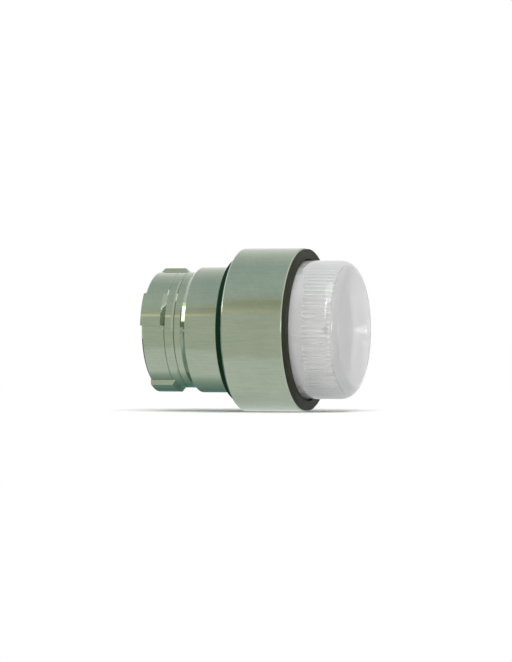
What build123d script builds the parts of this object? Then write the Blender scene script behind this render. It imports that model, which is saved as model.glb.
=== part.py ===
from build123d import *
import os
from math import cos, radians, sin

# Head of an illuminated push button with a metal body, for a round panel hole.
# All sizes are in millimetres. The button's axis is Y: the lens faces -Y, the front of the panel is
# the plane Y = 0, and everything behind the panel has a positive Y. Z is up.

# Metal body, outside. The barrel fits the panel's hole, and the other radii follow from it.
barrel_radius = 11.2
barrel_length = 6.2
barrel_chamfer_length = 1.1
bezel_overhang = 3.3
bezel_length = 11.3
bezel_edge = 0.3
neck_step = 0.85
neck_length = 2.9
neck_groove_depth = 0.2
neck_groove_width = 0.5
neck_groove_ahead = 1.3
flange_groove_depth = 0.12
flange_groove_width = 0.24
flange_length = 4.35
flange_edge = 0.3

# Bayonet lugs on the rear flange: first and last angle in degrees, run ahead of the flange, front ramp,
# rear chamfer, and the nearest X that the lug reaches, where its end is cut upright
lug_setback = 0.1
lug_whole = -15
lugs = [
    (4, 36, 0.05, 0.65, 0.1, lug_whole),
    (94, 132, 0.9, 0.7, 0.7, lug_whole),
    (180, 212, 0.05, 0.65, 0.1, lug_whole),
    (267, 312, 0.35, 0.65, 0.1, -5.2),
]

# Metal body, inside
bezel_wall = 1.3
cavity_depth = 8.9
seal_pocket_wall = 1.2
seal_pocket_depth = 2.9
web_thickness = 1.0
web_height = 0.8
neck_wall = 1.55
clip_groove_depth = 0.45
clip_thickness = 0.8
clip_play = 0.05

# Panel gasket
gasket_width = 1.45
gasket_thickness = 1.5
gasket_groove_depth = 0.25
gasket_edge = 0.2

# Guard ring in the mouth of the bezel
guard_setback = 0.15
guard_wall = 0.55
guard_front_thickness = 0.6
guard_edge = 0.15
guard_spigot_length = 2.2

# Lens cap
lens_projection = 8.55
lens_front_rounding = 2.65
lens_front_wall = 1.65
lens_corner_width = 0.45
lens_corner_length = 0.8
lens_side_wall = 1.35
lens_rib_count = 84
lens_rib_height = 0.35
lens_skirt_wall = 1.1
lens_skirt_length = 4.2
lens_bead_height = 0.2
lens_bead_width = 0.6
lens_bead_from_rear = 0.5

# Diffuser behind the lens, its front a shallow cone
diffuser_wall = 0.8
diffuser_play = 0.45
diffuser_gap = 1.1
diffuser_cone_rise = 0.26
diffuser_gate_radius = 0.6

# Lens carrier with its plunger tube
carrier_head_thickness = 1.0
carrier_wall = 1.2
carrier_flange_setback = 0.1
carrier_flange_thickness = 0.9
tube_end_step = 0.7
tube_end_wall = 1.2
tube_end_length = 3.7
tube_groove_depth = 0.35
lens_seal_thickness = 0.6
lens_seal_width = 1.0
key_count = 2
key_width = 2.0
key_height = 0.4
key_length = 3.0

# Return spring, of flat wire
travel = 4.3
end_play = 0.1
spring_inset = 0.5
spring_wire_width = 1.0
spring_wire_thickness = 0.5
spring_turns = 3

# Wiper seal and its retainer
retainer_thickness = 0.8
retainer_play = 0.5
seal_back_thickness = 0.9
seal_lip_thickness = 0.5

# Guide bush, stop washer and driver
bush_wall = 1.5
bush_length = 8.0
stop_thickness = 0.9
driver_ring_thickness = 2.5
driver_leg_count = 4
driver_leg_arc = 50.0
driver_leg_length = 2.2
driver_leg_wall = 1.5
driver_clip_thickness = 0.6
driver_clip_height = 0.7
clip_gap_angle = 40.0

# Clearances
running_clearance = 0.05
seat_clearance = 0.05
free_clearance = 0.3

# Radii from the barrel outwards
gasket_groove_radius = barrel_radius - gasket_groove_depth
gasket_inner_radius = barrel_radius + seat_clearance
gasket_radius = gasket_inner_radius + gasket_width
bezel_radius = barrel_radius + bezel_overhang
cavity_radius = bezel_radius - bezel_wall
guard_radius = bezel_radius - guard_setback
guard_spigot_radius = cavity_radius - seat_clearance
guard_inner_radius = guard_spigot_radius - guard_wall
lens_radius = guard_inner_radius - free_clearance
lens_skirt_radius = lens_radius - lens_skirt_wall
rib_root_radius = lens_radius - lens_side_wall
rib_tip_radius = rib_root_radius - lens_rib_height
lens_face_radius = rib_tip_radius - lens_corner_width
diffuser_radius = rib_tip_radius - diffuser_play
carrier_flange_radius = lens_radius - carrier_flange_setback
carrier_radius = lens_skirt_radius - running_clearance

# Radii from the barrel inwards
lug_radius = barrel_radius - lug_setback
neck_radius = barrel_radius - neck_step
seal_pocket_radius = barrel_radius - seal_pocket_wall
spring_radius = seal_pocket_radius - seat_clearance - spring_inset - spring_wire_width / 2
bore_radius = neck_radius - neck_wall
web_radius = bore_radius - web_height
driver_radius = bore_radius - free_clearance
bush_inner_radius = bore_radius - seat_clearance - bush_wall
tube_radius = bush_inner_radius - running_clearance
tube_end_radius = tube_radius - tube_end_step
lamp_bore_radius = tube_end_radius - tube_end_wall

# Stations along Y
bezel_rear = -gasket_thickness
bezel_front = bezel_rear - bezel_length
guard_front = bezel_front - guard_front_thickness
cavity_floor = bezel_front + cavity_depth
pocket_floor = cavity_floor + seal_pocket_depth
bush_front = pocket_floor + web_thickness
bush_rear = bush_front + bush_length
neck_front = barrel_length + barrel_chamfer_length
flange_front = neck_front + neck_length
flange_rear = flange_front + flange_length
carrier_flange_rear = cavity_floor - end_play - travel
carrier_flange_front = carrier_flange_rear - carrier_flange_thickness
lens_rear = carrier_flange_front - lens_seal_thickness
lens_bead_middle = lens_rear - lens_bead_from_rear - lens_bead_width / 2
lens_step = lens_rear - lens_skirt_length
lens_front = guard_front - lens_projection
lens_face = lens_front + lens_front_wall
rib_front = lens_face + lens_corner_length
carrier_front = lens_step + running_clearance
recess_floor = carrier_front + carrier_head_thickness
diffuser_front = lens_face + diffuser_gap
diffuser_edge = diffuser_front + diffuser_cone_rise
stop_rear = bush_rear + stop_thickness
driver_rear = stop_rear + driver_ring_thickness
tube_rear = stop_rear + tube_end_length


def ring(outline):
    """Body turned about the Y axis from corners given as (radius, y)."""
    section = make_face(Polyline(*outline, close=True))
    return revolve(section, axis=Axis.Y)


def rounded_ring(outline, corner, rounding):
    """The same, with one corner of the section rounded."""
    section = make_face(Polyline(*outline, close=True))
    nearest = section.vertices().sort_by_distance(Vector(*corner))[0]
    return revolve(fillet(nearest, rounding), axis=Axis.Y)


def tube(outer, inner, front, rear):
    """Plain ring between two radii and two stations."""
    return ring([(inner, front), (outer, front), (outer, rear), (inner, rear)])


def wedge(start, end, reach, front, rear):
    """Sector about the Y axis, its angles counted from -X towards +Z."""
    steps = max(2, int((end - start) / 30) + 2)
    turns = [radians(start + (end - start) * i / (steps - 1)) for i in range(steps)]
    rim = [(-reach * cos(turn), reach * sin(turn)) for turn in turns]
    base = Plane(origin=(0, front, 0), x_dir=(1, 0, 0), z_dir=(0, 1, 0))
    corners = [base.to_local_coords(Vector(x, front, z)) for x, z in [(0, 0)] + rim]
    sector = make_face(Polyline(*[(c.X, c.Y) for c in corners], close=True))
    return extrude(base * sector, amount=rear - front)


def gapped(solid, front, rear, reach):
    """A clip's ring with its gap cut out at the top."""
    half = clip_gap_angle / 2
    return solid - wedge(90 - half, 90 + half, reach, front, rear)


def make_lug(start, end, run, ramp, chamfer, nearest):
    """One bayonet lug: ramped at the front, chamfered at the rear, and cut to its arc."""
    front = flange_front - run
    height = lug_radius - neck_radius
    base = neck_radius - height
    band = ring([
        (base, front),
        (neck_radius, front),
        (lug_radius, front + ramp),
        (lug_radius, flange_rear - chamfer),
        (lug_radius - chamfer, flange_rear),
        (base, flange_rear),
    ])
    reach = 2 * lug_radius
    lug = band & wedge(start, end, reach, front, flange_rear)
    side = Box(2 * reach, reach, 2 * reach, align=(Align.MIN, Align.CENTER, Align.CENTER))
    return lug & Pos(nearest, (front + flange_rear) / 2, 0) * side


def make_body():
    groove_rear = flange_front - neck_groove_ahead
    groove_front = groove_rear - neck_groove_width
    groove_radius = neck_radius - neck_groove_depth
    groove_middle = (groove_front + groove_rear) / 2
    outline = [
        (cavity_radius, bezel_front),
        (bezel_radius - bezel_edge, bezel_front),
        (bezel_radius, bezel_front + bezel_edge),
        (bezel_radius, bezel_rear - bezel_edge),
        (bezel_radius - bezel_edge, bezel_rear),
        (gasket_groove_radius, bezel_rear),
        (gasket_groove_radius, 0),
        (barrel_radius, 0),
        (barrel_radius, barrel_length),
        (neck_radius, neck_front),
        (neck_radius, groove_front),
        (groove_radius, groove_middle),
        (neck_radius, groove_rear),
        (neck_radius, flange_front),
        (neck_radius - flange_groove_depth, flange_front + flange_groove_width / 2),
        (neck_radius, flange_front + flange_groove_width),
        (neck_radius, flange_rear - flange_edge),
        (neck_radius - flange_edge, flange_rear),
        (bore_radius, flange_rear),
        (bore_radius, bush_rear + clip_thickness + clip_play),
        (bore_radius + clip_groove_depth, bush_rear + clip_thickness + clip_play),
        (bore_radius + clip_groove_depth, bush_rear),
        (bore_radius, bush_rear),
        (bore_radius, bush_front),
        (web_radius, bush_front),
        (web_radius, pocket_floor),
        (seal_pocket_radius, pocket_floor),
        (seal_pocket_radius, cavity_floor),
        (cavity_radius, cavity_floor),
    ]
    body = ring(outline)
    for lug in lugs:
        body += make_lug(*lug)
    return body


def make_panel_gasket():
    """Rubber ring snapped into the groove between the bezel and the barrel."""
    return ring([
        (gasket_inner_radius - gasket_groove_depth, bezel_rear),
        (gasket_radius, bezel_rear),
        (gasket_radius, -gasket_edge),
        (gasket_radius - gasket_edge, 0),
        (gasket_inner_radius, 0),
        (gasket_inner_radius - gasket_groove_depth, -gasket_groove_depth),
    ])


def make_guard_ring():
    """Flat front ring that covers the bezel's front face, with a spigot in the mouth."""
    spigot_rear = bezel_front + guard_spigot_length
    return ring([
        (guard_inner_radius, guard_front),
        (guard_radius - guard_edge, guard_front),
        (guard_radius, guard_front + guard_edge),
        (guard_radius, bezel_front),
        (guard_spigot_radius, bezel_front),
        (guard_spigot_radius, spigot_rear),
        (guard_inner_radius, spigot_rear),
    ])


def rib_cutter():
    """Sawtooth star whose teeth leave the ribs on the inside of the lens's wall."""
    step = 360 / lens_rib_count
    points = []
    for i in range(lens_rib_count):
        for angle, radius in ((i * step, rib_tip_radius), ((i + 0.5) * step, rib_root_radius)):
            turn = radians(angle)
            points.append((radius * cos(turn), radius * sin(turn)))
    base = Plane(origin=(0, lens_step, 0), x_dir=(1, 0, 0), z_dir=(0, -1, 0))
    return extrude(base * make_face(Polyline(*points, close=True)), amount=lens_step - rib_front)


def make_lens():
    """Clear cap, smooth outside, ribbed inside, with a snap bead in its skirt."""
    half_bead = lens_bead_width / 2
    outline = [
        (0, lens_front),
        (lens_radius, lens_front),
        (lens_radius, lens_rear),
        (lens_skirt_radius, lens_rear),
        (lens_skirt_radius, lens_bead_middle + half_bead),
        (lens_skirt_radius - lens_bead_height, lens_bead_middle),
        (lens_skirt_radius, lens_bead_middle - half_bead),
        (lens_skirt_radius, lens_step),
        (rib_tip_radius, lens_step),
        (rib_tip_radius, rib_front),
        (lens_face_radius, lens_face),
        (0, lens_face),
    ]
    cap = rounded_ring(outline, (lens_radius, lens_front), lens_front_rounding)
    return cap - rib_cutter()


def make_diffuser():
    """Thin cup between the lens and the lamp, its front a shallow cone."""
    inner = diffuser_radius - diffuser_wall
    return ring([
        (0, diffuser_front),
        (diffuser_gate_radius, diffuser_front),
        (diffuser_radius, diffuser_edge),
        (diffuser_radius, carrier_front),
        (inner, carrier_front),
        (inner, diffuser_edge + diffuser_wall),
        (0, diffuser_edge + diffuser_wall),
    ])


def make_lens_seal():
    """Flat ring between the lens's rear rim and the carrier's flange."""
    return tube(lens_seal_width + lens_skirt_radius, lens_skirt_radius, lens_rear, carrier_flange_front)


def key_blocks(width, inner, outer, front, rear):
    """Blocks on both sides of the tube, which leave its slots and make the bush's keys."""
    block = Pos((inner + outer) / 2, (front + rear) / 2, 0) * Box(outer - inner, rear - front, width)
    return [Rot(0, 360 / key_count * i, 0) * block for i in range(key_count)]


def make_lens_carrier():
    """Head that the lens snaps onto, the flange behind it, and the tube through the body."""
    inner_wall = carrier_radius - carrier_wall
    half_groove = lens_bead_width / 2 + running_clearance
    seat_radius = tube_end_radius - tube_groove_depth
    clip_front = driver_rear
    clip_rear = driver_rear + driver_clip_thickness + clip_play
    slot_front = bush_rear - key_length - travel - end_play
    slot_floor = tube_radius - key_height - end_play
    carrier = ring([
        (lamp_bore_radius, carrier_front),
        (carrier_radius, carrier_front),
        (carrier_radius, lens_bead_middle - half_groove),
        (carrier_radius - lens_bead_height, lens_bead_middle),
        (carrier_radius, lens_bead_middle + half_groove),
        (carrier_radius, carrier_flange_front),
        (carrier_flange_radius, carrier_flange_front),
        (carrier_flange_radius, carrier_flange_rear),
        (inner_wall, carrier_flange_rear),
        (inner_wall, recess_floor),
        (tube_radius, recess_floor),
        (tube_radius, stop_rear),
        (tube_end_radius, stop_rear),
        (tube_end_radius, clip_front),
        (seat_radius, clip_front),
        (seat_radius, clip_rear),
        (tube_end_radius, clip_rear),
        (tube_end_radius, tube_rear),
        (lamp_bore_radius, tube_rear),
    ])
    slot_width = key_width + 2 * end_play
    for block in key_blocks(slot_width, slot_floor, tube_radius + 1, slot_front, stop_rear):
        carrier -= block
    return carrier


def make_return_spring():
    """Flat wire wound between the carrier's recess and the retainer, its ends ground flat."""
    front = recess_floor
    rear = cavity_floor
    pitch = (rear - front) / spring_turns
    overrun = pitch / 2
    path = Helix(
        pitch=pitch,
        height=rear - front + 2 * overrun,
        radius=spring_radius,
        center=(0, front - overrun, 0),
        direction=(0, 1, 0),
    )
    start = Plane(origin=path @ 0, z_dir=path % 0, x_dir=(0, 1, 0))
    wire = sweep(start * Rectangle(spring_wire_thickness, spring_wire_width), path=path, is_frenet=True)
    room = tube(2 * spring_radius, 1, front, rear)
    return wire & room


def make_seal_retainer():
    return tube(
        seal_pocket_radius - seat_clearance,
        tube_radius + retainer_play,
        cavity_floor,
        cavity_floor + retainer_thickness,
    )


def make_wiper_seal():
    """Rubber ring whose slanted lip wipes the plunger tube."""
    outer = seal_pocket_radius - seat_clearance
    front = cavity_floor + retainer_thickness
    back = pocket_floor - seal_back_thickness
    lip = tube_radius + running_clearance
    return ring([
        (outer, front),
        (outer, pocket_floor),
        (web_radius, pocket_floor),
        (lip, back),
        (lip, back - seal_lip_thickness),
        (web_radius + seal_lip_thickness, back),
        (outer - seal_lip_thickness * 2, back),
        (outer - seal_lip_thickness * 2, front),
    ])


def make_guide_bush():
    """Bearing for the tube, with keys at its rear end that stop the tube from turning."""
    middle = (tube_radius + bore_radius) / 2
    bush = tube(bore_radius - seat_clearance, bush_inner_radius, bush_front, bush_rear)
    key_front = bush_rear - key_length
    for block in key_blocks(key_width, tube_radius - key_height, middle, key_front, bush_rear):
        bush += block
    return bush


def make_bush_clip():
    """Spring clip in the body's groove that holds the guide bush."""
    outer = bore_radius + clip_groove_depth - seat_clearance
    inner = driver_radius - free_clearance
    rear = bush_rear + clip_thickness
    return gapped(tube(outer, inner, bush_rear, rear), bush_rear, rear, 2 * outer)


def make_stop_washer():
    """Rubber washer that the driver comes to rest on when the button returns."""
    outer = driver_radius - 2 * free_clearance
    return tube(outer, bush_inner_radius, bush_rear, stop_rear)


def make_driver():
    """Ring on the end of the tube, with legs that push the switch blocks."""
    ring_solid = tube(driver_radius, tube_end_radius + seat_clearance, stop_rear, driver_rear)
    leg_band = tube(
        driver_radius, driver_radius - driver_leg_wall, driver_rear, driver_rear + driver_leg_length
    )
    for i in range(driver_leg_count):
        middle = 360 / driver_leg_count * i
        half = driver_leg_arc / 2
        ring_solid += leg_band & wedge(
            middle - half, middle + half, 2 * driver_radius, driver_rear, driver_rear + driver_leg_length
        )
    return ring_solid


def make_driver_clip():
    """Spring clip in the tube's groove that holds the driver."""
    inner = tube_end_radius - tube_groove_depth + seat_clearance
    rear = driver_rear + driver_clip_thickness
    outer = inner + driver_clip_height
    return gapped(tube(outer, inner, driver_rear, rear), driver_rear, rear, 2 * outer)


makers = {
    "body": make_body,
    "guard_ring": make_guard_ring,
    "panel_gasket": make_panel_gasket,
    "lens": make_lens,
    "diffuser": make_diffuser,
    "lens_seal": make_lens_seal,
    "lens_carrier": make_lens_carrier,
    "return_spring": make_return_spring,
    "seal_retainer": make_seal_retainer,
    "wiper_seal": make_wiper_seal,
    "guide_bush": make_guide_bush,
    "bush_clip": make_bush_clip,
    "stop_washer": make_stop_washer,
    "driver": make_driver,
    "driver_clip": make_driver_clip,
}

os.makedirs("parts", exist_ok=True)
for name, make in makers.items():
    export_step(make(), f"parts/{name}.step")
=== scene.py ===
import math

import bmesh
import bpy
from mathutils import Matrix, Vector


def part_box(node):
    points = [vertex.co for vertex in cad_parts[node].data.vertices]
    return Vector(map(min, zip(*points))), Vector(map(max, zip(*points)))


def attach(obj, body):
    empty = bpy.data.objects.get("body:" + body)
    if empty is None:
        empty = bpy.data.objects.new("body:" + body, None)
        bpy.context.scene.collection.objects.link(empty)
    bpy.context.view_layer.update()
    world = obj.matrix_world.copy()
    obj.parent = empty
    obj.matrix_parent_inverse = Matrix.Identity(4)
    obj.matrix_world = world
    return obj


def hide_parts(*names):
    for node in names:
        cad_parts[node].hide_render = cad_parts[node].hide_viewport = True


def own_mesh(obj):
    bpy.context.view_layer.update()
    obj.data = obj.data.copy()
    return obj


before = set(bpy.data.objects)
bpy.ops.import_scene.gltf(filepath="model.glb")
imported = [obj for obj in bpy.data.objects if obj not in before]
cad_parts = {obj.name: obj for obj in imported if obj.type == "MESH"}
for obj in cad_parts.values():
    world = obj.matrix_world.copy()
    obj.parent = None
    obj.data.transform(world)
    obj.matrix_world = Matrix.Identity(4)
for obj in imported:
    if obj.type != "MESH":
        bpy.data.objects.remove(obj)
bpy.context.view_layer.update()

# Looks of an illuminated push button head. Everything is in metres, in the frame of the CAD model:
# the button's axis is Y, the lens faces -Y, the panel's front face is the plane Y = 0, and Z is up.

MM = 0.001

# Sizes that the looks are tied to, read from the solids
body_low, body_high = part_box("body")
ring_low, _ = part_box("guard_ring")
gasket_low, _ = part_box("panel_gasket")
lens_low, lens_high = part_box("lens")

bezel_radius = body_high.z
bezel_front = body_low.y
bezel_rear = gasket_low.y
ring_front = ring_low.y
lens_radius = lens_high.z
lens_front = lens_low.y
lens_rear = lens_high.y

# Inside of the lens: the ribs on its wall, and the flat face behind its front
RIB_COUNT = 84
RIB_TIP = 10.6 * MM
RIB_ROOT = 10.95 * MM
RIB_FRONT = -20.0 * MM
RIB_REAR = -14.0 * MM
FACE_RADIUS = 10.55 * MM
FACE_STATION = -20.3 * MM

BUMP_DEPTH = 0.02 * MM
FLOOR_GAP = 0.02 * MM
TABLE_CARD_GAP = 0.005 * MM
WHITE = (1, 1, 1, 1)


def add_object(name, data):
    obj = bpy.data.objects.new(name, data)
    bpy.context.scene.collection.objects.link(obj)
    return obj


def mesh_from(bm, name):
    """Mesh made from a bmesh, which is freed."""
    mesh = bpy.data.meshes.new(name)
    bm.to_mesh(mesh)
    bm.free()
    return mesh


bpy.context.scene.view_settings.view_transform = "Standard"


# Camera

def add_camera():
    """Long lens level with the button's axis, on its left, as in the photograph."""
    azimuth = math.radians(-72.2)
    distance = 0.640
    focal_pixels = 3590
    picture_height = 662
    aim = Vector((0, -3.5 * MM, -0.21 * MM))
    back = Vector((math.sin(azimuth), -math.cos(azimuth), 0))
    lens = bpy.data.cameras.new("camera")
    lens.sensor_fit = "VERTICAL"
    lens.sensor_height = 36
    lens.lens = focal_pixels / picture_height * lens.sensor_height
    lens.clip_start = 0.01
    camera = add_object("camera", lens)
    camera.location = aim + back * distance
    camera.rotation_euler = back.to_track_quat("Z", "Y").to_euler()
    bpy.context.scene.camera = camera


# Shader helpers

class Tree:
    """Short way to add and join the nodes of one material or group."""

    def __init__(self, node_tree):
        self.nodes = node_tree.nodes
        self.links = node_tree.links

    def add(self, kind, inputs=None, **settings):
        node = self.nodes.new("ShaderNode" + kind)
        for key, value in settings.items():
            setattr(node, key, value)
        for key, value in (inputs or {}).items():
            self.join(value, node.inputs[key])
        return node

    def join(self, value, socket):
        if isinstance(value, bpy.types.NodeSocket):
            self.links.new(value, socket)
        else:
            socket.default_value = value

    def math(self, operation, a, b=0.0):
        return self.add("Math", {0: a, 1: b}, operation=operation).outputs[0]

    def step(self, value, low, high, to_low=0.0, to_high=1.0):
        """Smooth step of a value between two limits."""
        node = self.add("MapRange", {"Value": value, "From Min": low, "From Max": high,
                                     "To Min": to_low, "To Max": to_high})
        node.interpolation_type = "SMOOTHSTEP"
        return node.outputs["Result"]

    def blend(self, factor, a, b):
        """Mix of two colours."""
        node = self.add("Mix", data_type="RGBA")
        self.join(factor, node.inputs[0])
        self.join(a, node.inputs[6])
        self.join(b, node.inputs[7])
        return node.outputs[2]


def fill_ramp(node, tones):
    """Sets a colour ramp's stops, given as (place, colour)."""
    stops = node.color_ramp.elements
    while len(stops) < len(tones):
        stops.new(0.5)
    for stop, (place, colour) in zip(stops, tones):
        stop.position = place
        stop.color = (*colour, 1)


def new_material(name):
    """Empty node material with its tree and its output."""
    material = bpy.data.materials.new(name)
    material.use_nodes = True
    material.node_tree.nodes.clear()
    tree = Tree(material.node_tree)
    output = tree.add("OutputMaterial")
    return material, tree, output


def new_group(name, inputs, outputs):
    """Node group with float inputs, given with their values, and outputs given with their kinds."""
    group = bpy.data.node_groups.new(name, "ShaderNodeTree")
    for label, value in inputs.items():
        socket = group.interface.new_socket(label, in_out="INPUT", socket_type="NodeSocketFloat")
        socket.default_value = value
    for label, kind in outputs.items():
        group.interface.new_socket(label, in_out="OUTPUT", socket_type="NodeSocket" + kind)
    tree = Tree(group)
    source = group.nodes.new("NodeGroupInput")
    sink = group.nodes.new("NodeGroupOutput")
    return group, tree, source.outputs, sink.inputs


def place_group(tree, group, values):
    node = tree.add("Group")
    node.node_tree = group
    for key, value in values.items():
        tree.join(value, node.inputs[key])
    return node.outputs


def make_polar_group():
    """Distance from the button's axis and station along it, both in metres."""
    group, tree, _, sink = new_group("polar_place", {}, {"Radius": "Float", "Station": "Float"})
    place = tree.add("TexCoord").outputs["Object"]
    split = tree.add("SeparateXYZ", {0: place})
    square_x = tree.math("MULTIPLY", split.outputs["X"], split.outputs["X"])
    square_z = tree.math("MULTIPLY", split.outputs["Z"], split.outputs["Z"])
    radius = tree.math("SQRT", tree.math("ADD", square_x, square_z))
    tree.join(radius, sink["Radius"])
    tree.join(split.outputs["Y"], sink["Station"])
    return group


def make_grain_group():
    """Fine grain for plastic, rubber and steel: a mask for tone and roughness, and a height."""
    group, tree, source, sink = new_group(
        "moulded_grain", {"Scale": 4000.0, "Patch Scale": 250.0}, {"Mask": "Float", "Height": "Float"}
    )
    place = tree.add("TexCoord").outputs["Object"]
    fine = tree.add("TexNoise", {"Vector": place, "Scale": source["Scale"], "Detail": 2.0})
    patch = tree.add("TexNoise", {"Vector": place, "Scale": source["Patch Scale"], "Detail": 3.0})
    mask = tree.math("ADD", tree.math("MULTIPLY", fine.outputs[0], 0.4),
                     tree.math("MULTIPLY", patch.outputs[0], 0.6))
    tree.join(mask, sink["Mask"])
    tree.join(fine.outputs[0], sink["Height"])
    return group


# Materials

def worn_edges(tree, polar, cloud):
    """Mask of the bezel's front and rear edges, where the plating is rubbed."""
    front = tree.step(polar["Station"], bezel_front + 0.35 * MM, bezel_front + 0.15 * MM)
    rear = tree.math("MULTIPLY",
                     tree.step(polar["Station"], bezel_rear - 0.4 * MM, bezel_rear - 0.2 * MM),
                     tree.step(polar["Radius"], bezel_radius - 0.35 * MM, bezel_radius - 0.2 * MM))
    return tree.math("MULTIPLY", tree.math("MAXIMUM", front, rear),
                     tree.step(cloud, 0.35, 0.65, 0.1, 0.45))


def make_plated_metal():
    """Plated casting with rubbed streaks: the bezel satin, the rest more polished, worn edges paler."""
    material, tree, output = new_material("plated_metal")
    polar = place_group(tree, polar_place, {})
    place = tree.add("TexCoord").outputs["Object"]
    cloud = tree.add("TexNoise", {"Vector": place, "Scale": 160.0, "Detail": 4.0}).outputs[0]
    satin = tree.add("TexNoise", {"Vector": place, "Scale": 3200.0, "Detail": 3.0}).outputs[0]
    slanted = tree.add("Mapping", {
        "Vector": place, "Rotation": (math.radians(52), 0.0, 0.0), "Scale": (2.0 * MM, 3.8 * MM, 0.19 * MM),
    }, vector_type="TEXTURE")
    rubbed = tree.add("TexNoise", {"Vector": slanted.outputs[0], "Scale": 1.0, "Detail": 2.0}).outputs[0]
    along = tree.add("Mapping", {"Vector": place, "Scale": (500.0, 260.0, 4200.0)})
    drawn = tree.add("TexNoise", {"Vector": along.outputs[0], "Scale": 1.0, "Detail": 2.0}).outputs[0]

    streaks = tree.math("ADD", tree.math("MULTIPLY", drawn, 0.4), tree.math("MULTIPLY", rubbed, 0.25))
    tone = tree.math("ADD", tree.math("MULTIPLY", cloud, 0.35), streaks)
    plain = tree.blend(tree.step(tone, 0.3, 0.7), (0.318, 0.368, 0.286, 1), (0.368, 0.420, 0.334, 1))
    colour = tree.blend(worn_edges(tree, polar, cloud), plain, (0.50, 0.53, 0.47, 1))

    uneven = tree.math("ADD", tree.math("MULTIPLY", cloud, 0.6), tree.math("MULTIPLY", rubbed, 0.4))
    soft = tree.step(uneven, 0.3, 0.7, 0.12, 0.18)
    bright = tree.step(cloud, 0.3, 0.7, 0.06, 0.10)
    polished = tree.step(polar["Station"], bezel_rear - 0.1 * MM, bezel_rear + 0.1 * MM)
    rough = tree.add("Mix", {0: polished, 2: soft, 3: bright}, data_type="FLOAT").outputs[0]

    fine = tree.add("Bump", {"Height": satin, "Strength": 0.06, "Distance": BUMP_DEPTH})
    bump = tree.add("Bump", {
        "Height": rubbed, "Strength": 0.10, "Distance": BUMP_DEPTH, "Normal": fine.outputs[0],
    })
    shader = tree.add("BsdfPrincipled", {
        "Base Color": colour, "Metallic": 1.0, "Roughness": rough, "Normal": bump.outputs[0],
    })
    tree.join(shader.outputs[0], output.inputs[0])
    return material


def make_moulding(name, dark, light, roughness, grain_scale, bump_strength, coat=0.0, gloss=0.5):
    """Moulded plastic or rubber with a fine grain and slight patches."""
    material, tree, output = new_material(name)
    grain = place_group(tree, moulded_grain, {"Scale": grain_scale})
    colour = tree.blend(grain["Mask"], (*dark, 1), (*light, 1))
    rough = tree.step(grain["Mask"], 0.3, 0.7, roughness[0], roughness[1])
    bump = tree.add("Bump", {
        "Height": grain["Height"], "Strength": bump_strength, "Distance": BUMP_DEPTH,
    })
    shader = tree.add("BsdfPrincipled", {
        "Base Color": colour, "Roughness": rough, "Normal": bump.outputs[0], "Coat Weight": coat,
        "Specular IOR Level": gloss,
    })
    tree.join(shader.outputs[0], output.inputs[0])
    return material


def make_spring_steel():
    """Drawn and stamped spring steel."""
    material, tree, output = new_material("spring_steel")
    grain = place_group(tree, moulded_grain, {"Scale": 1800.0})
    colour = tree.blend(grain["Mask"], (0.42, 0.42, 0.41, 1), (0.58, 0.58, 0.57, 1))
    rough = tree.step(grain["Mask"], 0.3, 0.7, 0.24, 0.38)
    bump = tree.add("Bump", {"Height": grain["Height"], "Strength": 0.05, "Distance": BUMP_DEPTH})
    shader = tree.add("BsdfPrincipled", {
        "Base Color": colour, "Metallic": 1.0, "Roughness": rough, "Normal": bump.outputs[0],
    })
    tree.join(shader.outputs[0], output.inputs[0])
    return material


def make_clear_lens():
    """Clear to milky plastic, polished but for the ribs, greyer in front, and paler and clearer in the ring's
    mouth, which is painted light against the black ring's shade.
    """
    material, tree, output = new_material("clear_lens")
    grain = place_group(tree, moulded_grain, {"Scale": 900.0})
    polar = place_group(tree, polar_place, {})
    milky = tree.blend(grain["Mask"], (0.89, 0.89, 0.89, 1), (0.92, 0.92, 0.92, 1))
    front = tree.math("MULTIPLY", tree.step(polar["Radius"], RIB_TIP, RIB_TIP - 0.8 * MM),
                      tree.step(polar["Station"], RIB_FRONT + 0.1 * MM, RIB_FRONT - 0.1 * MM))
    cap = tree.blend(front, milky, (0.85, 0.85, 0.85, 1))
    # Painted light: the lens is made paler near the black ring, which shades it there.
    painted_light_near_ring = tree.step(polar["Station"], ring_front - 2.6 * MM, ring_front - 0.8 * MM)
    colour = tree.blend(painted_light_near_ring, cap, (0.99, 0.99, 0.99, 1))
    polished = tree.step(grain["Mask"], 0.3, 0.7, 0.03, 0.06)
    ribbed = tree.math("MULTIPLY",
                       tree.step(polar["Radius"], RIB_ROOT + 0.55 * MM, RIB_ROOT + 0.35 * MM),
                       tree.step(polar["Station"], FACE_STATION + 0.05 * MM, RIB_FRONT - 0.1 * MM))
    rough = tree.add("Mix", {0: ribbed, 2: polished, 3: 0.42}, data_type="FLOAT").outputs[0]
    shader = tree.add("BsdfPrincipled", {
        "Base Color": colour, "Roughness": rough, "IOR": 1.49, "Transmission Weight": 0.73,
    })
    tree.join(shader.outputs[0], output.inputs[0])
    return material


# Pieces that replace a solid

def shade_by_angle(bm, degrees):
    """Smooth faces, with the edges sharper than the limit marked."""
    for face in bm.faces:
        face.smooth = True
    for edge in bm.edges:
        if len(edge.link_faces) == 2 and edge.calc_face_angle() > math.radians(degrees):
            edge.smooth = False


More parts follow.
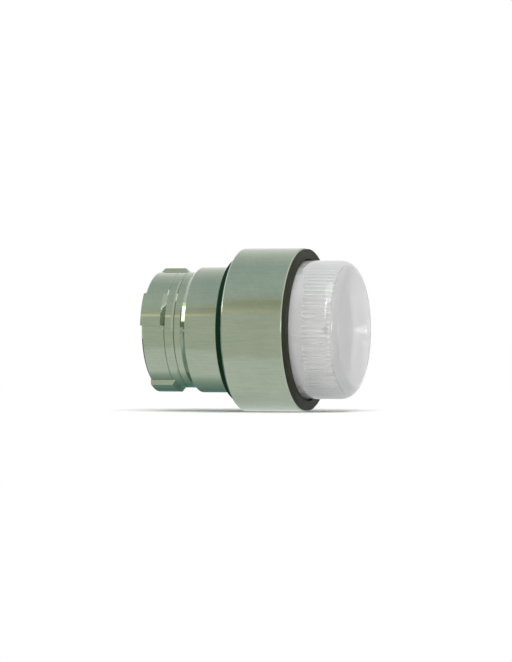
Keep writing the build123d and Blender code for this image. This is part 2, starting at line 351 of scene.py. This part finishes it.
def lens_section():
    """Section of the lens from its front centre round to the centre of its inner face."""
    rounding = 2.65 * MM
    rounding_steps = 12
    skirt = 11.2 * MM
    bead, bead_front, bead_peak, bead_rear = 11.0 * MM, -10.9 * MM, -10.6 * MM, -10.3 * MM
    corner = (10.75 * MM, FACE_STATION + 0.05 * MM)
    section = [(0, lens_front), (lens_radius - rounding, lens_front)]
    for i in range(1, rounding_steps + 1):
        turn = math.radians(90 / rounding_steps * i)
        section.append((lens_radius - rounding * (1 - math.sin(turn)),
                        lens_front + rounding * (1 - math.cos(turn))))
    section += [
        (lens_radius, lens_rear), (skirt, lens_rear),
        (skirt, bead_rear), (bead, bead_peak), (skirt, bead_front),
        (skirt, RIB_REAR), (RIB_ROOT, RIB_REAR), (RIB_ROOT, RIB_FRONT),
        corner, (FACE_RADIUS, FACE_STATION),
    ]

    # Fine saw-toothed rings from the face's rim to the gate mark at its centre
    gate = 0.6 * MM
    ring_pitch = 0.27 * MM
    ring_depth = 0.019 * MM
    radius = FACE_RADIUS
    while radius > gate + ring_pitch:
        radius -= ring_pitch
        section += [(radius, FACE_STATION + ring_depth), (radius, FACE_STATION)]
    section.append((0, FACE_STATION))
    return section


def raise_ribs(bm):
    """Draws the ribs in from the inner wall, each one a low ridge between two valleys."""
    for vert in bm.verts:
        radius = math.hypot(vert.co.x, vert.co.z)
        if abs(radius - RIB_ROOT) < 0.01 * MM:
            turn = math.atan2(vert.co.z, vert.co.x) / math.tau * RIB_COUNT
            share = abs((turn + 0.5) % 1 - 0.5) * 2
            scale = (RIB_TIP + (RIB_ROOT - RIB_TIP) * share) / radius
            vert.co.x *= scale
            vert.co.z *= scale


def make_lens_cap():
    """Lens spun about the button's axis from its section, its poles merged, with its ribs."""
    bm = bmesh.new()
    points = [bm.verts.new((radius, station, 0)) for radius, station in lens_section()]
    edges = [bm.edges.new(pair) for pair in zip(points, points[1:])]
    bmesh.ops.spin(bm, geom=points + edges, axis=(0, 1, 0), cent=(0, 0, 0), dvec=(0, 0, 0),
                   angle=math.tau, steps=4 * RIB_COUNT, use_merge=True, use_duplicate=False)
    bmesh.ops.remove_doubles(bm, verts=bm.verts, dist=0.001 * MM)
    raise_ribs(bm)
    bmesh.ops.recalc_face_normals(bm, faces=bm.faces)
    shade_by_angle(bm, 8.5)
    cap = add_object("lens_cap", mesh_from(bm, "lens_cap"))
    cap.data.materials.append(clear_lens)
    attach(cap, "plunger")
    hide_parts("lens")


def make_spring():
    """Copy of the spring's solid, shaded smooth and carried with the housing."""
    bm = bmesh.new()
    bm.from_mesh(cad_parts["return_spring"].data)
    bmesh.ops.remove_doubles(bm, verts=bm.verts, dist=0.0005 * MM)
    shade_by_angle(bm, 30)
    spring = add_object("spring_wire", mesh_from(bm, "spring_wire"))
    spring.data.materials.append(spring_steel)
    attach(spring, "housing")
    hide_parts("return_spring")
    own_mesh(spring)


# Studio

def seen_directly(tree):
    """One for rays from the camera, and for those that metal and glass send on."""
    path = tree.add("LightPath")
    glossy = tree.math("MAXIMUM", path.outputs["Is Glossy Ray"], path.outputs["Is Transmission Ray"])
    return tree.math("MAXIMUM", path.outputs["Is Camera Ray"], glossy)


def make_world():
    """White surroundings that light the button a little less than they show."""
    world = bpy.data.worlds.new("studio")
    bpy.context.scene.world = world
    world.use_nodes = True
    world.node_tree.nodes.clear()
    tree = Tree(world.node_tree)
    strength = tree.step(seen_directly(tree), 0.0, 1.0, 0.76, 1.0)
    background = tree.add("Background", {"Color": WHITE, "Strength": strength})
    output = tree.add("OutputWorld")
    tree.join(background.outputs[0], output.inputs[0])


def make_floor():
    """White floor that keeps the shadow near the button and is plain white further out."""
    bm = bmesh.new()
    bmesh.ops.create_circle(bm, cap_ends=True, segments=96, radius=3.0)
    bmesh.ops.translate(bm, verts=bm.verts, vec=(0, 0, body_low.z - FLOOR_GAP))
    floor = add_object("floor", mesh_from(bm, "floor"))
    material, tree, output = new_material("floor_white")
    place = tree.add("TexCoord").outputs["Object"]
    distance = tree.add("VectorMath", {0: place}, operation="LENGTH").outputs["Value"]
    far = tree.step(distance, 0.10, 0.30)
    matte = tree.add("BsdfDiffuse", {"Color": (0.97, 0.97, 0.97, 1)})
    plain = tree.add("Emission", {"Color": WHITE, "Strength": 1.0})
    mix = tree.add("MixShader", {0: far, 1: matte.outputs[0], 2: plain.outputs[0]})
    tree.join(mix.outputs[0], output.inputs[0])
    floor.data.materials.append(material)


def new_card(name, bm):
    """Card with an empty material, and that material's tree and output."""
    card = add_object(name, mesh_from(bm, name))
    material, tree, output = new_material(name)
    card.data.materials.append(material)
    return card, tree, output


def light_card(card, tree, output, colour, strength=1.0, through=False):
    """Lets a card show in gloss, or only through the lens. It neither lights nor shades anything else."""
    glow = tree.add("Emission", {"Color": colour, "Strength": strength})
    tree.join(glow.outputs[0], output.inputs[0])
    card.visible_camera = False
    card.visible_diffuse = False
    card.visible_glossy = not through
    card.visible_transmission = through
    card.visible_shadow = False
    card.visible_volume_scatter = False


def make_side_card():
    """Curved card beside the camera, in bands that the metal shows, from the axis's level to past the top."""
    bm = bmesh.new()
    ends = [bm.verts.new((-1.2, station, 0)) for station in (-0.5, 1.6)]
    edge = bm.edges.new(ends)
    bmesh.ops.spin(bm, geom=ends + [edge], axis=(0, 1, 0), cent=(0, 0, 0), dvec=(0, 0, 0),
                   angle=math.radians(150), steps=50, use_merge=False, use_duplicate=False)
    card, tree, output = new_card("side_card", bm)
    place = tree.add("SeparateXYZ", {0: tree.add("TexCoord").outputs["Object"]})
    level = tree.math("ARCTAN2", place.outputs["Z"], tree.math("MULTIPLY", place.outputs["X"], -1.0))
    share = tree.math("DIVIDE", level, math.pi)

    wall, pale, cool, white = (0.82, 0.83, 0.76), (0.80, 0.85, 0.84), (0.67, 0.75, 0.76), (1.00, 1.00, 1.00)
    brown, dark, warm = (0.75, 0.68, 0.52), (0.50, 0.53, 0.44), (1.00, 0.87, 0.66)
    bezel_side = tree.add("ValToRGB", {0: share})
    fill_ramp(bezel_side, [
        (0.12, wall), (0.16, brown), (0.21, dark), (0.24, brown), (0.26, cool), (0.56, cool), (0.80, white),
    ])
    flange_side = tree.add("ValToRGB", {0: share})
    fill_ramp(flange_side, [
        (0.13, wall), (0.15, warm), (0.18, wall), (0.30, pale), (0.56, cool), (0.80, white),
    ])
    rearward = tree.step(place.outputs["Y"], 0.392, 0.424)
    colour = tree.blend(rearward, bezel_side.outputs[0], flange_side.outputs[0])
    strip = tree.math("MULTIPLY", tree.step(share, 0.13, 0.15), tree.step(share, 0.17, 0.15))
    extra = tree.math("MULTIPLY", tree.math("MULTIPLY", strip, rearward), 0.5)
    light_card(card, tree, output, colour, tree.math("ADD", extra, 1.0))


def make_table_card():
    """Card just over the floor that the metal reflects: white near the button, greyer beyond, and dark under
    the barrel, which is a painted shadow of the button on the floor.
    """
    near, reach = 0.04, 1.2
    bm = bmesh.new()
    bmesh.ops.create_grid(bm, x_segments=1, y_segments=1, size=1.0)
    bmesh.ops.scale(bm, verts=bm.verts, vec=((near + reach) / 2, 1.0, 1.0))
    bmesh.ops.translate(bm, verts=bm.verts, vec=((near - reach) / 2, 0.6, body_low.z - TABLE_CARD_GAP))
    card, tree, output = new_card("table_card", bm)
    place = tree.add("SeparateXYZ", {0: tree.add("TexCoord").outputs["Object"]})
    far = tree.step(place.outputs["X"], -21.0 * MM, -29.0 * MM)
    open_floor = tree.blend(far, WHITE, (0.84, 0.85, 0.78, 1))
    # Painted shadow: the floor's shade under the barrel, drawn into the card for the metal to reflect.
    across = tree.add("MapRange", {"Value": place.outputs["X"], "From Min": -8 * MM, "From Max": 4 * MM})
    shade = tree.add("ValToRGB", {0: across.outputs[0]})
    fill_ramp(shade, [
        (0.00, (1.00, 1.00, 1.00)),
        (0.08, (0.90, 0.95, 0.92)),
        (0.25, (0.55, 0.65, 0.60)),
        (0.48, (0.33, 0.45, 0.41)),
        (0.88, (0.15, 0.27, 0.24)),
    ])
    behind = tree.step(place.outputs["Y"], 0.2 * MM, 1.4 * MM)
    under = tree.blend(behind, (0.90, 0.93, 0.93, 1), shade.outputs[0])
    beneath = tree.step(place.outputs["X"], -8.5 * MM, -7.5 * MM)
    light_card(card, tree, output, tree.blend(beneath, open_floor, under))


def add_glint_card(name, towards, width, height, strength, through=False):
    """Small flat card a metre off that faces the button, for one highlight or one dark line."""
    back = Vector(towards).normalized()
    side = Vector((0, 0, 1)).cross(back).normalized()
    up = back.cross(side)
    bm = bmesh.new()
    corners = [(-1, -1), (1, -1), (1, 1), (-1, 1)]
    verts = [bm.verts.new(back + side * (a * width / 2) + up * (b * height / 2)) for a, b in corners]
    bm.faces.new(verts)
    card, tree, output = new_card(name, bm)
    light_card(card, tree, output, WHITE, strength, through)


def add_lamp(name, azimuth, elevation, distance, width, height, power):
    """Soft box that faces the button from a direction given in degrees."""
    turn, lift = math.radians(azimuth), math.radians(elevation)
    back = Vector((math.sin(turn) * math.cos(lift), -math.cos(turn) * math.cos(lift), math.sin(lift)))
    light = bpy.data.lights.new(name, "AREA")
    light.shape = "RECTANGLE"
    light.size = width
    light.size_y = height
    light.energy = power
    lamp = add_object(name, light)
    lamp.location = back * distance
    lamp.rotation_euler = back.to_track_quat("Z", "Y").to_euler()


add_camera()

polar_place = make_polar_group()
moulded_grain = make_grain_group()

plated_metal = make_plated_metal()
spring_steel = make_spring_steel()
clear_lens = make_clear_lens()
black_plastic = make_moulding(
    "black_plastic", dark=(0.020, 0.023, 0.012), light=(0.028, 0.031, 0.018), roughness=(0.50, 0.62),
    grain_scale=3500.0, bump_strength=0.3, gloss=0.12)
gasket_rubber = make_moulding(
    "gasket_rubber", dark=(0.001, 0.019, 0.006), light=(0.003, 0.027, 0.009), roughness=(0.50, 0.65),
    grain_scale=3000.0, bump_strength=0.3, gloss=0.06)
seal_rubber = make_moulding(
    "seal_rubber", dark=(0.012, 0.012, 0.012), light=(0.022, 0.022, 0.022), roughness=(0.50, 0.65),
    grain_scale=3000.0, bump_strength=0.3)
white_plastic = make_moulding(
    "white_plastic", dark=(0.80, 0.80, 0.79), light=(0.85, 0.85, 0.84), roughness=(0.28, 0.38),
    grain_scale=2500.0, bump_strength=0.1, coat=0.1)
white_diffuser = make_moulding(
    "white_diffuser", dark=(0.80, 0.80, 0.80), light=(0.85, 0.85, 0.85), roughness=(0.30, 0.40),
    grain_scale=2500.0, bump_strength=0.1)
bush_plastic = make_moulding(
    "bush_plastic", dark=(0.030, 0.030, 0.030), light=(0.045, 0.045, 0.045), roughness=(0.35, 0.45),
    grain_scale=2500.0, bump_strength=0.2)

finishes = {
    "body": plated_metal,
    "guard_ring": black_plastic,
    "panel_gasket": gasket_rubber,
    "lens": clear_lens,
    "diffuser": white_diffuser,
    "lens_seal": seal_rubber,
    "lens_carrier": white_plastic,
    "return_spring": spring_steel,
    "seal_retainer": spring_steel,
    "wiper_seal": seal_rubber,
    "guide_bush": bush_plastic,
    "bush_clip": spring_steel,
    "stop_washer": seal_rubber,
    "driver": white_plastic,
    "driver_clip": spring_steel,
}
for node, material in finishes.items():
    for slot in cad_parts[node].material_slots:
        slot.material = material

make_lens_cap()
make_spring()

make_world()
make_floor()
make_side_card()
make_table_card()
add_glint_card("upper_glint", (-0.79, -0.20, 0.57), width=0.16, height=0.60, strength=12.0)
add_glint_card("left_dark", (0.06, 0.99, 0.03), width=0.10, height=0.06, strength=0.25)
add_glint_card("front_glint", (-0.40, -0.91, 0.08), width=0.06, height=0.22, strength=12.0)
add_glint_card("ring_glint", (0.79, -0.63, 0.0), width=0.16, height=0.035, strength=80.0, through=True)
add_glint_card("ring_line", (0.79, -0.61, 0.057), width=0.16, height=0.010, strength=80.0, through=True)
add_lamp("top_light", azimuth=-60, elevation=60, distance=0.9, width=0.6, height=0.6, power=4.0)
add_lamp("left_light", azimuth=166, elevation=12, distance=0.8, width=0.14, height=0.12, power=0.6)
